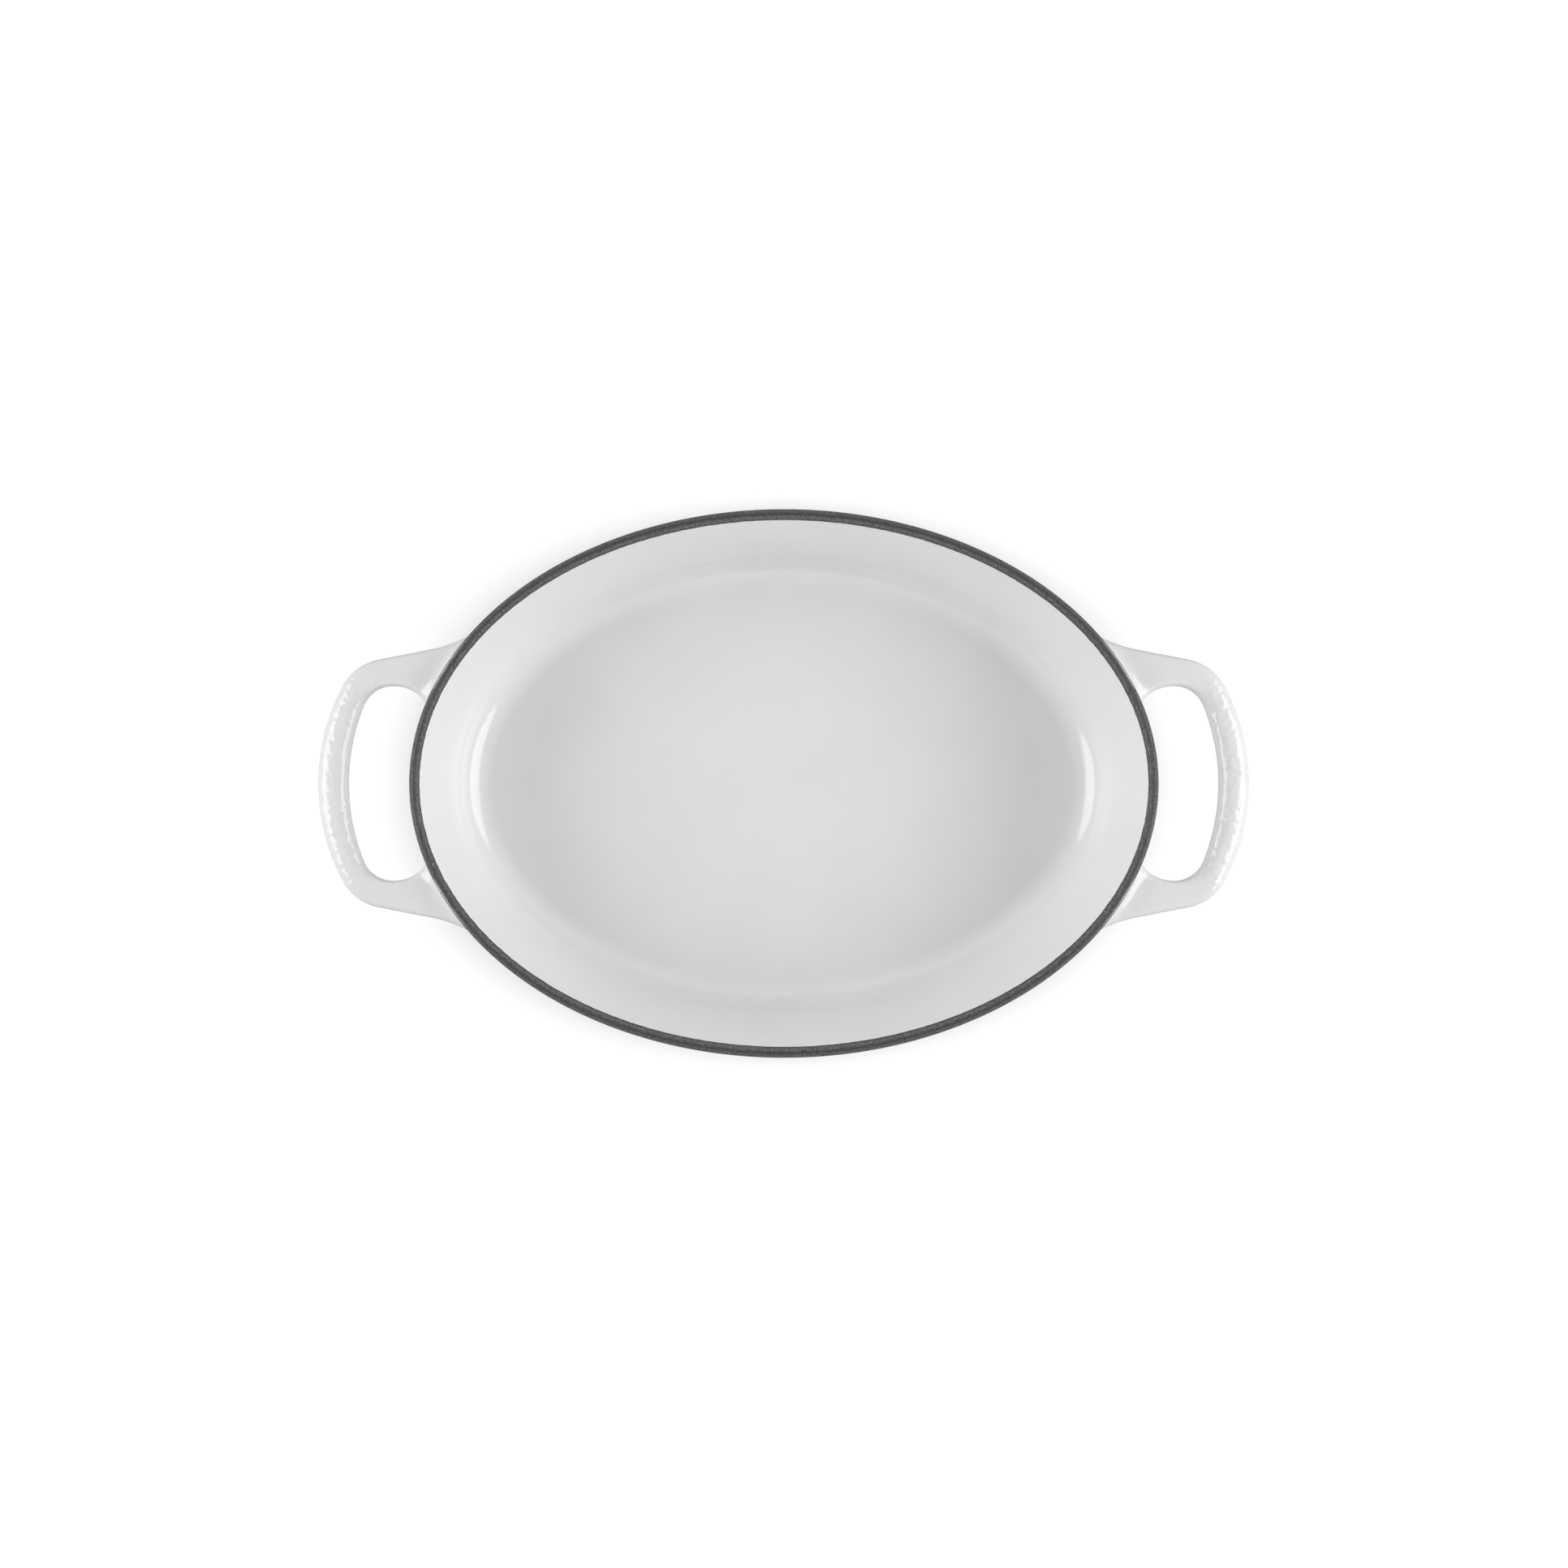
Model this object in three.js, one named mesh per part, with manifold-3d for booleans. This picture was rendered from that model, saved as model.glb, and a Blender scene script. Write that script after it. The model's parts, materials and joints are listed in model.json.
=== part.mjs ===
// Oval roasting pan: one iron casting with two loop handles, covered all over in fused enamel.
// Millimetres, +Z up, +X along the pan. The origin lies on the table under the middle of the pan.
import * as THREE from "three";
import Module from "manifold-3d";

const wasm = await Module();
wasm.setup();
const { lerp, clamp, degToRad } = THREE.MathUtils;

// Bowl, measured over the enamel
const RIM_LENGTH = 280;
const RIM_WIDTH = 205;
const HEIGHT = 54;
const RIM_THICKNESS = 4.3;
const FLOOR_THICKNESS = 5;
const INNER_FLARE = 18; // lean of the wall's inside, degrees
const OUTER_FLARE = 17; // lean of the wall's outside, degrees
const FLOOR_RADIUS = 13; // inside corner between wall and floor

// Foot ring under the floor
const FOOT_HEIGHT = 0.8;
const FOOT_WIDTH = 8;
const FOOT_RAMP = 1.5; // slope on each side of the ring

// Enamel
const COAT = 0.4;
const BOND = 0.05; // bond line between iron and enamel, and between two coats
const BAND_SKIRT = 1; // reach of the rim band down each side of the wall

// Loop handles, measured over the enamel
const HANDLE_REACH = 34.6; // from the rim out to the face of the grip
const HANDLE_DROP = 4; // from the rim down to the top of the grip
const GRIP_WIDTH = 11.5;
const GRIP_DEPTH = 10;
const GRIP_BOW = 78; // radius of the grip, seen from above
const GRIP_SQUARENESS = 1.8; // exponent of the grip's section: 2 is an ellipse
const ARM_WIDTH = 11;
const ARM_DEPTH = 9.5;
const ARM_TAPER = 11; // lean of the arms' outer edges towards the grip, degrees
const ARM_SQUARENESS = 4;
const SLOT_LENGTH = 73; // finger slot between the arms
const SLOT_END_RADIUS = 11.6;
const LOOP_RADIUS = 20; // outer corner between arm and grip
const ROOT_FILLET = 18; // spread of the arms where they meet the wall
const ROOT_BITE = 2; // reach of the arms' ends into the iron

// Facets
const OVAL_STEPS = 52;
const CORNER_STEPS = 5;
const ROOT_STEPS = 5;
const LOOP_STEPS = 5;
const GRIP_STEPS = 3;
const SECTION_STEPS = 12;
const SEARCH_STEPS = 40; // halvings that find where an arm meets the wall

const HALF_LENGTH = RIM_LENGTH / 2;
const HALF_WIDTH = RIM_WIDTH / 2;
const LAYER = COAT + BOND; // from the finished surface down to the iron
const FLOOR_TOP = FOOT_HEIGHT + FLOOR_THICKNESS;
const BASE_RADIUS = FLOOR_RADIUS + FLOOR_THICKNESS;
const HANDLE_MID = HEIGHT - HANDLE_DROP - GRIP_DEPTH / 2;
const innerLean = degToRad(INNER_FLARE);
const outerLean = degToRad(OUTER_FLARE);

// A profile point is (inset, z): its distance inwards from the rim's outline, and its height.
const point = (inset, z) => new THREE.Vector2(inset, z);
const NOSE = point(RIM_THICKNESS / 2, HEIGHT - RIM_THICKNESS / 2); // centre of the rim's rounding

// Point of the rim's outline at eccentric angle u, moved inwards along the normal.
function ovalPoint(u, inset) {
  const normal = new THREE.Vector2(HALF_WIDTH * Math.cos(u), HALF_LENGTH * Math.sin(u)).normalize();
  const rim = new THREE.Vector2(HALF_LENGTH * Math.cos(u), HALF_WIDTH * Math.sin(u));
  return rim.addScaledVector(normal, -inset);
}

// Inset of the wall at height z, on the layer that lies depth under the finished surface.
function innerInset(z, depth) {
  return NOSE.x + (NOSE.x - depth - (z - NOSE.y) * Math.sin(innerLean)) / Math.cos(innerLean);
}

function outerInset(z, depth) {
  return NOSE.x - (NOSE.x - depth + (z - NOSE.y) * Math.sin(outerLean)) / Math.cos(outerLean);
}

const innerWall = (z, depth) => point(innerInset(z, depth), z);
const outerWall = (z, depth) => point(outerInset(z, depth), z);

// Centres of the corners between wall and floor, inside and outside
const innerCentre = innerWall(FLOOR_TOP + FLOOR_RADIUS, -FLOOR_RADIUS);
const outerCentre = outerWall(FOOT_HEIGHT + BASE_RADIUS, BASE_RADIUS);

// Arc about a centre from straight down to the wall's lean.
function cornerArc(centre, radius, lean) {
  return Array.from({ length: CORNER_STEPS + 1 }, (_, i) => {
    const a = lerp(Math.PI / 2, lean, i / CORNER_STEPS);
    return point(centre.x - radius * Math.cos(a), centre.y - radius * Math.sin(a));
  });
}

const innerCorner = (depth) => cornerArc(innerCentre, FLOOR_RADIUS + depth, innerLean);
const outerCorner = (depth) => cornerArc(outerCentre, BASE_RADIUS - depth, outerLean);

// Rounding of the rim, from the outer wall over the top to the inner wall.
function rimArc(depth) {
  const radius = NOSE.x - depth;
  const turns = [1 + outerLean / Math.PI, 1, 0.75, 0.5, 0.25, innerLean / Math.PI];
  return turns.map((turn) => {
    const a = turn * Math.PI;
    return point(NOSE.x + radius * Math.cos(a), NOSE.y + radius * Math.sin(a));
  });
}

// Underside from the flat middle over the foot ring, out to the ring's edge.
function underside(depth) {
  const edge = outerCentre.x + FOOT_RAMP;
  return [
    point(edge + FOOT_WIDTH + FOOT_RAMP, FOOT_HEIGHT + depth),
    point(edge + FOOT_WIDTH, depth),
    point(edge, depth),
  ];
}

// Closed surface through rings of points. A ring of one point closes an end; loop joins last to first.
function skin(rings, loop = false) {
  const starts = [];
  let count = 0;
  for (const ring of rings) {
    starts.push(count);
    count += ring.length;
  }
  const index = [];
  const at = (ring, i) => starts[ring] + (i % rings[ring].length);
  const last = loop ? rings.length : rings.length - 1;
  for (let r = 0; r < last; r++) {
    const s = (r + 1) % rings.length;
    const steps = Math.max(rings[r].length, rings[s].length);
    for (let i = 0; i < steps; i++) {
      if (rings[r].length > 1) index.push(at(r, i), at(r, i + 1), at(s, i));
      if (rings[s].length > 1) index.push(at(s, i), at(r, i + 1), at(s, i + 1));
    }
  }
  return new THREE.BufferGeometry().setFromPoints(rings.flat()).setIndex(index);
}

// Profile point carried once round the oval.
function ovalRing(p) {
  return Array.from({ length: OVAL_STEPS }, (_, i) => {
    const q = ovalPoint((2 * Math.PI * i) / OVAL_STEPS, p.x);
    return new THREE.Vector3(q.x, q.y, p.y);
  });
}

// Ring whose section is the closed profile.
const ovalBand = (profile) => skin(profile.map(ovalRing), true);

// Dish whose profile is closed by a flat middle at its first and last heights.
function ovalDish(profile) {
  const middle = (p) => [new THREE.Vector3(0, 0, p.y)];
  return skin([middle(profile[0]), ...profile.map(ovalRing), middle(profile[profile.length - 1])]);
}

function toSolid(geometry) {
  return new wasm.Manifold(
    new wasm.Mesh({
      numProp: 3,
      vertProperties: geometry.getAttribute("position").array,
      triVerts: new Uint32Array(geometry.index.array),
    }),
  );
}

function toGeometry(solid) {
  const { vertProperties, triVerts } = solid.getMesh();
  return new THREE.BufferGeometry()
    .setAttribute("position", new THREE.BufferAttribute(vertProperties, 3))
    .setIndex(new THREE.BufferAttribute(triVerts, 1));
}

// Where a line across the pan's plan meets the outline of the handles' roots, as an eccentric angle.
const rootInset = outerInset(HANDLE_MID, LAYER + ROOT_BITE);
function rootAngle(onLine, across) {
  let low = 0;
  let high = Math.PI / 2;
  for (let i = 0; i < SEARCH_STEPS; i++) {
    const mid = (low + high) / 2;
    if (ovalPoint(mid, rootInset).sub(onLine).dot(across) > 0) low = mid;
    else high = mid;
  }
  return low;
}

// One edge of a handle from above, from its root in the wall to the middle of the grip, as three
// runs: along the arm, round the corner, along the grip. The arm's edge goes through (x, y).
// side is 1 for the loop's outer edge and -1 for the slot's.
function loopEdge({ x, y, taper, face, radius, fillet, side }) {
  const along = new THREE.Vector2(Math.cos(taper), -Math.sin(taper));
  const across = new THREE.Vector2(-Math.sin(taper), -Math.cos(taper));
  const bow = new THREE.Vector2(face - GRIP_BOW, 0);
  const arm = new THREE.Vector2(x, y);

  const start = arm.clone().addScaledVector(across, radius).sub(bow);
  const lead = start.dot(along);
  const run = Math.sqrt(lead ** 2 - start.lengthSq() + (GRIP_BOW - radius) ** 2) - lead;
  const centre = start.clone().addScaledVector(along, run).add(bow);
  const turn = centre.clone().sub(bow).angle();
  const armEnd = centre.clone().addScaledVector(across, -radius);

  const meet = rootAngle(arm, across);
  const corner = ovalPoint(meet, rootInset);
  const spread = fillet ?? corner.distanceTo(armEnd);
  const pace = Math.hypot(HALF_LENGTH * Math.sin(meet), HALF_WIDTH * Math.cos(meet));
  const u = meet + (side * spread) / pace;
  const root = ovalPoint(u, rootInset);
  const leave = corner.clone().addScaledVector(along, spread);
  const armRun = new THREE.CurvePath();
  const towards = (p) => p.clone().lerp(corner, 0.5);
  armRun.add(new THREE.CubicBezierCurve(root, towards(root), towards(leave), leave));
  if (fillet) armRun.add(new THREE.LineCurve(leave, armEnd));

  const bend = new THREE.EllipseCurve(
    centre.x, centre.y, radius, radius, Math.PI / 2 - taper, turn, true,
  );
  const grip = new THREE.EllipseCurve(bow.x, bow.y, GRIP_BOW, GRIP_BOW, turn, 0, true);
  const points = [
    ...armRun.getSpacedPoints(ROOT_STEPS),
    ...bend.getPoints(LOOP_STEPS).slice(1),
    ...grip.getPoints(GRIP_STEPS).slice(1),
  ];
  return { points, u, armEnd };
}

const gripFace = HALF_LENGTH + HANDLE_REACH;
const slotEdge = loopEdge({
  x: HALF_LENGTH,
  y: SLOT_LENGTH / 2,
  taper: 0,
  face: gripFace - GRIP_WIDTH,
  radius: SLOT_END_RADIUS,
  side: -1,
});
const outerEdge = loopEdge({
  x: slotEdge.armEnd.x,
  y: SLOT_LENGTH / 2 + ARM_WIDTH,
  taper: degToRad(ARM_TAPER),
  face: gripFace,
  radius: LOOP_RADIUS,
  fillet: ROOT_FILLET,
  side: 1,
});

// Plan point between the handle's edges. At the root it follows the wall's curve.
function acrossHandle(station, share, rooted) {
  const straight = outerEdge.points[station].clone().lerp(slotEdge.points[station], share);
  const wall = ovalPoint(lerp(outerEdge.u, slotEdge.u, share), rootInset);
  const chord = outerEdge.points[0].clone().lerp(slotEdge.points[0], share);
  return straight.addScaledVector(wall.sub(chord), rooted);
}

// Section of the handle at one station, drawn in by shrink: a squared ellipse between its edges.
function handleSection(station, shrink) {
  const rooted = clamp(1 - station / ROOT_STEPS, 0, 1) ** 2;
  const gripped = clamp((station - ROOT_STEPS) / LOOP_STEPS, 0, 1);
  const depth = lerp(ARM_DEPTH, GRIP_DEPTH, gripped);
  const width = outerEdge.points[station].distanceTo(slotEdge.points[station]);
  const power = 2 / lerp(ARM_SQUARENESS, GRIP_SQUARENESS, gripped);
  const squared = (v) => Math.sign(v) * Math.abs(v) ** power;
  return Array.from({ length: SECTION_STEPS }, (_, i) => {
    const a = (-2 * Math.PI * i) / SECTION_STEPS;
    const share = 0.5 + squared(Math.cos(a)) * (0.5 - shrink / width);
    const plan = acrossHandle(station, share, rooted);
    return new THREE.Vector3(plan.x, plan.y, HANDLE_MID + squared(Math.sin(a)) * (depth / 2 - shrink));
  });
}

// Whole loop of the right handle, with its surface drawn in by shrink.
function handleLoop(shrink) {
  const stations = ROOT_STEPS + LOOP_STEPS + GRIP_STEPS;
  const half = Array.from({ length: stations + 1 }, (_, i) => handleSection(i, shrink));
  const end = acrossHandle(0, 0.5, 1);
  const cap = [new THREE.Vector3(end.x, end.y, HANDLE_MID)];
  const mirrored = (ring) => ring.map((p) => new THREE.Vector3(p.x, -p.y, p.z));
  const back = half.slice(0, -1).reverse().map(mirrored);
  return skin([cap, ...half, ...back, mirrored(cap)]);
}

function bothHandles(shrink) {
  const right = handleLoop(shrink);
  const left = right.clone().rotateZ(Math.PI);
  return toSolid(right).add(toSolid(left));
}

// Bowl with its foot ring and the handles' cores, poured as one piece.
function ironCasting() {
  const bowl = ovalDish([
    ...underside(LAYER),
    ...outerCorner(LAYER),
    ...rimArc(LAYER),
    ...innerCorner(LAYER).reverse(),
  ]);
  const hollow = ovalDish([...innerCorner(LAYER), innerWall(HEIGHT, LAYER)]);
  const handles = bothHandles(LAYER).subtract(toSolid(hollow));
  return toGeometry(toSolid(bowl).add(handles));
}

// Heights where the rim band ends, outside and inside
const bandOuterEdge = NOSE.y - NOSE.x * Math.sin(outerLean) - BAND_SKIRT;
const bandInnerEdge = NOSE.y + NOSE.x * Math.sin(innerLean) - BAND_SKIRT;

// The coats leave room for the handles' cores, which pass through them into the wall.
const coreRooms = bothHandles(COAT);
const clearOfCores = (geometry) => toGeometry(toSolid(geometry).subtract(coreRooms));

function interiorEnamel() {
  const top = bandInnerEdge - BOND;
  return ovalDish([
    ...innerCorner(COAT),
    innerWall(top, COAT),
    innerWall(top, 0),
    ...innerCorner(0).reverse(),
  ]);
}

function rimEnamel() {
  return clearOfCores(
    ovalBand([
      outerWall(bandOuterEdge, 0),
      ...rimArc(0),
      innerWall(bandInnerEdge, 0),
      innerWall(bandInnerEdge, COAT),
      ...rimArc(COAT).reverse(),
      outerWall(bandOuterEdge, COAT),
    ]),
  );
}

function exteriorEnamel() {
  const top = bandOuterEdge - BOND;
  return clearOfCores(
    ovalBand([
      ...outerCorner(0),
      outerWall(top, 0),
      outerWall(top, COAT),
      ...outerCorner(COAT).reverse(),
    ]),
  );
}

function baseEnamel() {
  const edge = outerCentre.x + BOND;
  return ovalDish([
    ...underside(0),
    point(edge, FOOT_HEIGHT),
    point(edge, FOOT_HEIGHT + COAT),
    ...underside(COAT).reverse(),
  ]);
}

// Tube round the right handle's core that ends at the coated wall.
function handleEnamel() {
  const bowl = ovalDish([...outerCorner(-BOND), outerWall(HEIGHT, -BOND)]);
  const tube = toSolid(handleLoop(0)).subtract(toSolid(handleLoop(COAT)));
  return toGeometry(tube.subtract(toSolid(bowl)));
}

const iron = new THREE.MeshStandardMaterial({ color: 0x3b3b3d, roughness: 0.75, metalness: 0.7 });
const paleEnamel = new THREE.MeshStandardMaterial({ color: 0xdfe1e0, roughness: 0.18 });
const whiteEnamel = new THREE.MeshStandardMaterial({ color: 0xe4e6e5, roughness: 0.15 });
const darkEnamel = new THREE.MeshStandardMaterial({ color: 0x3d3f40, roughness: 0.6 });

function mesh(name, geometry, material) {
  geometry.computeVertexNormals();
  const made = new THREE.Mesh(geometry, material);
  made.name = name;
  return made;
}

const handleCoat = handleEnamel();
const leftHandle = mesh("left_handle_enamel", handleCoat, whiteEnamel);
leftHandle.rotation.z = Math.PI;

const pan = new THREE.Group();
pan.name = "roasting_pan";
pan.add(
  mesh("iron_casting", ironCasting(), iron),
  mesh("interior_enamel", interiorEnamel(), paleEnamel),
  mesh("rim_enamel", rimEnamel(), darkEnamel),
  mesh("exterior_enamel", exteriorEnamel(), whiteEnamel),
  mesh("base_enamel", baseEnamel(), whiteEnamel),
  leftHandle,
  mesh("right_handle_enamel", handleCoat, whiteEnamel),
);

export default pan;
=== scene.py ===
import json
import math

import bpy
import numpy as np
from bpy.props import FloatProperty, FloatVectorProperty, PointerProperty
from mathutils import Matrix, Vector


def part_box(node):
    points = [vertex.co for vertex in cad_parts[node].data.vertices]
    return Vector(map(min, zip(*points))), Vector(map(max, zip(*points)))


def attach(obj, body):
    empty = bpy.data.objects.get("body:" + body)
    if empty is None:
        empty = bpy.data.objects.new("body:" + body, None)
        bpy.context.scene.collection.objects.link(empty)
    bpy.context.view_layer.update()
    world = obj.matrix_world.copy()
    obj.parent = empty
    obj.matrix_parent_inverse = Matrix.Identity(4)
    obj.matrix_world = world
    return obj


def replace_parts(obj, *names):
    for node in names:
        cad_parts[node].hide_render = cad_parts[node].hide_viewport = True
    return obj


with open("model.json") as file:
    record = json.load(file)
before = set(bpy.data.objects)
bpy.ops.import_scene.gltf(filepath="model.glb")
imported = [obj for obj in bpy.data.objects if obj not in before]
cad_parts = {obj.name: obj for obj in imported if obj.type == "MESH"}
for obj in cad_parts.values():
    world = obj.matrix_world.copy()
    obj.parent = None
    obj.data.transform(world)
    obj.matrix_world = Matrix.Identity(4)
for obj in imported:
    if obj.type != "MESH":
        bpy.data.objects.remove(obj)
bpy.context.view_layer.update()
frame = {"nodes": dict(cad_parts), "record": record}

bl_info = {
    "name": "Enamelled roasting pan",
    "version": (1, 0, 0),
    "blender": (4, 5, 0),
    "location": "3D View > Sidebar > Pan",
    "description": "Smooth enamel coats for the packed roasting pan, and a plain studio to show it in",
    "category": "Add Mesh",
}

RIM_LOW, RIM_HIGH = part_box("rim_enamel")
GRIP_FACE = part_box("right_handle_enamel")[1].x
FLOOR_TOP = next(m["pos_m"][2] for m in frame["record"]["mounts"] if m["name"] == "pan_floor")
COLOURS = {m["slot"]: m["base_color"] for m in frame["record"]["materials"]}

# Points of the meshes. A coat's face is what shows, and its back lies on the iron
ROUND = 720  # round the oval
SECTION = 64  # round a handle's section
LINING_ROWS, BAND_ROWS, OUTSIDE_ROWS, FOOT_ROWS = 28, 24, 24, 10  # across each bend or wall of a face
BACK_ROWS, FOOT_BACK_ROWS = 8, 4  # across each bend or wall of a back
FLAT_ROWS = 8  # from the pan's middle to the edge of a flat
BACK_STEP = 6  # stations of a handle's face for each one of its back
SEARCH_POINTS, EASE_POINTS = 4000, 400  # along the wall that an arm meets, and along its curve out of it
NEWTON_STEPS = 5  # to the nearest point of the rim's ellipse
SHARP_ANGLE = math.radians(40)  # an edge that bends more stays sharp

# Chance lines and ripples
EDGE_WAVES = 60  # sines in an edge of the dark band
EDGE_COUNTS = (40, 300)  # least and most waves of such a sine round the oval
EDGE_HEIGHTS = (0.3, 1)  # its least and greatest height, before all are scaled to the wander
INNER_EDGE_SEED, OUTER_EDGE_SEED = 3, 5
RIPPLES = 60  # waves that make up the ripples of a grip
RIPPLE_LENGTHS = (0.6, 2)  # their least and greatest length, as shares of the ripple size
HANDLES = (("right", 1, 11), ("left", -1, 23))  # side, sign that turns the loop, seed of its ripples

# Squareness of the handles' sections, where 2 is an ellipse
ARM_SQUARENESS, GRIP_SQUARENESS = 4, 2

# Greys of the dark band, from its outer edge at 0 over the crest to its inner edge at 1. They are painted
# light and shade: the dark line near the crest is a painted reflection of the dark room overhead, the
# lighter shoulders beside it are painted reflections of the soft boxes, and the grey falls towards the inner
# edge
PAINTED_LIGHT_STRIPES = (
    (0, 0.35),
    (0.4, 0.5),
    (0.53, 0.35),
    (0.63, 0.06),
    (0.7, 0.3),
    (0.79, 0.55),
    (0.9, 0.35),
    (1, 0.1),
)

# Gloss of the enamels: specular level, roughness, and depth of the orange peel
LINING_GLOSS = (0.39, 0.12, 0.000004)
WHITE_GLOSS = (0.38, 0.045, 0.000008)

FLOOR_HALF = 15  # half the width of the studio's floor, in metres
FLOOR_GREY = 0.6  # share of its light that the floor gives back
FAR_FLOOR = (0.4, 0.8)  # distances from the pan's middle between which the floor's glow grows to white
ROOM_TINT = (0.985, 1, 0.995, 1)  # colour of the light from all round
SENSOR_WIDTH = 36  # of the camera, in mm


def length(name, default, description):
    """A size in metres, from 0 up."""
    return FloatProperty(
        name=name, description=description, default=default, min=0, unit="LENGTH", precision=5
    )


def angle(name, degrees, description):
    """An angle, given in degrees."""
    return FloatProperty(
        name=name, description=description, default=math.radians(degrees), unit="ROTATION"
    )


def colour(name, slot, description):
    """A colour, by default the record's colour for a material slot."""
    return FloatVectorProperty(
        name=name, description=description, default=COLOURS[slot], min=0, max=1, subtype="COLOR"
    )


def place(name, default, description):
    """A place in metres, to either side of 0."""
    return FloatProperty(
        name=name, description=description, default=default, unit="LENGTH", precision=5
    )


def level(name, default, description):
    """A plain number, from 0 up."""
    return FloatProperty(name=name, description=description, default=default, min=0)


class PanSizes(bpy.types.PropertyGroup):
    """Sizes of the finished bowl, measured over its enamel."""

    rim_length: length("Rim length", RIM_HIGH.x - RIM_LOW.x, "Length of the rim's oval")
    rim_width: length("Rim width", RIM_HIGH.y - RIM_LOW.y, "Width of the rim's oval")
    height: length("Height", RIM_HIGH.z, "Height of the rim over the table")
    rim_thickness: length("Rim thickness", 0.0043, "Thickness of the wall at its rounded rim")
    floor_top: length("Floor", FLOOR_TOP, "Height of the inside floor over the table")
    inner_flare: angle("Inner flare", 18, "Lean of the wall's inside")
    outer_flare: angle("Outer flare", 17, "Lean of the wall's outside")
    floor_radius: length("Inside corner", 0.013, "Radius between the inner wall and the floor")
    base_radius: length("Outside corner", 0.018, "Radius between the outer wall and the underside")
    foot_height: length("Foot height", 0.0008, "Height of the foot ring")
    foot_width: length("Foot width", 0.008, "Width of the foot ring's flat")
    foot_ramp: length("Foot ramp", 0.0015, "Width of the slope on each side of the foot ring")
    coat: length("Coat", 0.0004, "Thickness of the enamel")
    joint: length("Joint", 0.00002, "Gap between two coats of enamel")
    end_lap: length("Lap at the ends", 0.0006, "How far the lining laps over the rim's rounding")
    side_lap: length("Lap at the sides", 0.0001, "How far the lining laps over the rim's rounding")
    skirt: length("Skirt", 0.001, "How far the dark band reaches down the outer wall")
    wander: length("Wander", 0.00006, "How far the band's edges wander from a true line")


class HandleSizes(bpy.types.PropertyGroup):
    """Sizes of the loop handles, measured over the enamel."""

    reach: length("Reach", GRIP_FACE - RIM_HIGH.x, "From the rim out to the face of the grip")
    middle: length("Middle", 0.045, "Height of the loop's middle over the table")
    grip_width: length("Grip width", 0.0115, "Width of the grip from above")
    grip_depth: length("Grip depth", 0.010, "Height of the grip's section")
    grip_bow: length("Grip bow", 0.078, "Radius of the grip from above")
    arm_width: length("Arm width", 0.011, "Width of an arm where it meets the grip")
    arm_depth: length("Arm depth", 0.0095, "Height of an arm's section")
    arm_taper: angle("Arm taper", 11, "Lean of the arms' outer edges towards the grip")
    slot_length: length("Slot length", 0.073, "Length of the finger slot")
    slot_corner: length("Slot corner", 0.0116, "Radius of the finger slot's outer corners")
    loop_corner: length("Loop corner", 0.020, "Radius of the loop's outer corners")
    root_fillet: length("Root fillet", 0.018, "Spread of the arms where they meet the wall")
    root_depth: length("Root depth", 0.0021, "Depth in the wall from which the arms spread")
    bite: length("Bite", 0.0013, "Depth of the arms' ends under the wall's surface")
    wall_fillet: length("Wall fillet", 0.004, "Height of the fillet between an arm's top and the wall")
    fillet_reach: length("Fillet reach", 0.007, "Reach of that fillet out along the arm")
    under_fillet: level("Under fillet", 0.35, "Height of the fillet under an arm, as a share of the top one")
    ripple: length("Ripple", 0.000085, "Height of the ripples that firing leaves on the grip")
    ripple_size: length("Ripple size", 0.0022, "Length of those ripples")


class PanColours(bpy.types.PropertyGroup):
    """Colours of the enamel and the iron."""

    lining: colour("Lining", "pale_enamel", "Enamel inside the pan")
    white: colour("White", "white_enamel", "Enamel outside and on the handles")
    dark: colour("Dark band", "dark_enamel", "Enamel over the rim")
    iron: colour("Iron", "iron", "Cast iron under the enamel")


class StudioSettings(bpy.types.PropertyGroup):
    """Light, floor and camera."""

    ambient: level("Ambient", 0.228, "Brightness of the room overhead and to the sides; 1 is white")
    ambient_ends: level("Front and back", 0.64, "How much brighter the room is in front and at the back")
    sheen: level("Sheen", 0.8, "Brightness of the room as gloss shows it; 1 is white")
    sheen_ends: level("Sheen at the ends", 1.4, "How much brighter gloss shows front and back")
    left_light: level("Left light", 5.45, "Brightness of the left soft box; 1 is white")
    right_light: level("Right light", 5.2, "Brightness of the right soft box; 1 is white")
    left_width: length("Left width", 0.95, "Width of the left soft box")
    right_width: length("Right width", 1.2, "Width of the right soft box")
    left_place: place("Left place", 0.03, "Place of the left soft box across the pan")
    right_place: place("Right place", -0.07, "Place of the right soft box across the pan")
    warmth: FloatVectorProperty(
        name="Warmth",
        description="Colour of the soft boxes",
        default=(1, 0.976, 0.983),
        min=0,
        max=1,
        subtype="COLOR",
    )
    box_distance: length("Box distance", 1.05, "From the pan's middle to each soft box")
    box_base: length("Box base", 0.16, "Height of the soft boxes' lower edges over the table")
    box_height: length("Box height", 1.0, "Height of the soft boxes")
    floor_glow: level("Floor glow", 0.52, "White that the camera sees on the floor on top of its light")
    # The floor's painted shadow: the glow that only the camera sees is dimmed beside the pan
    painted_floor_shade: level("Floor shade", 0.28, "How far the glow falls off beside the pan")
    painted_shade_reach: length("Shade reach", 0.02, "Width of the shade beside the pan")
    camera_distance: length("Camera distance", 1.5, "Height of the camera over the rim")
    view_width: length("View width", 0.585, "Width of the picture at the rim")
    view_along: place("View along", -0.025, "Place of the camera along the pan")
    view_across: place("View across", -0.0002, "Place of the camera across the pan")


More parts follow.
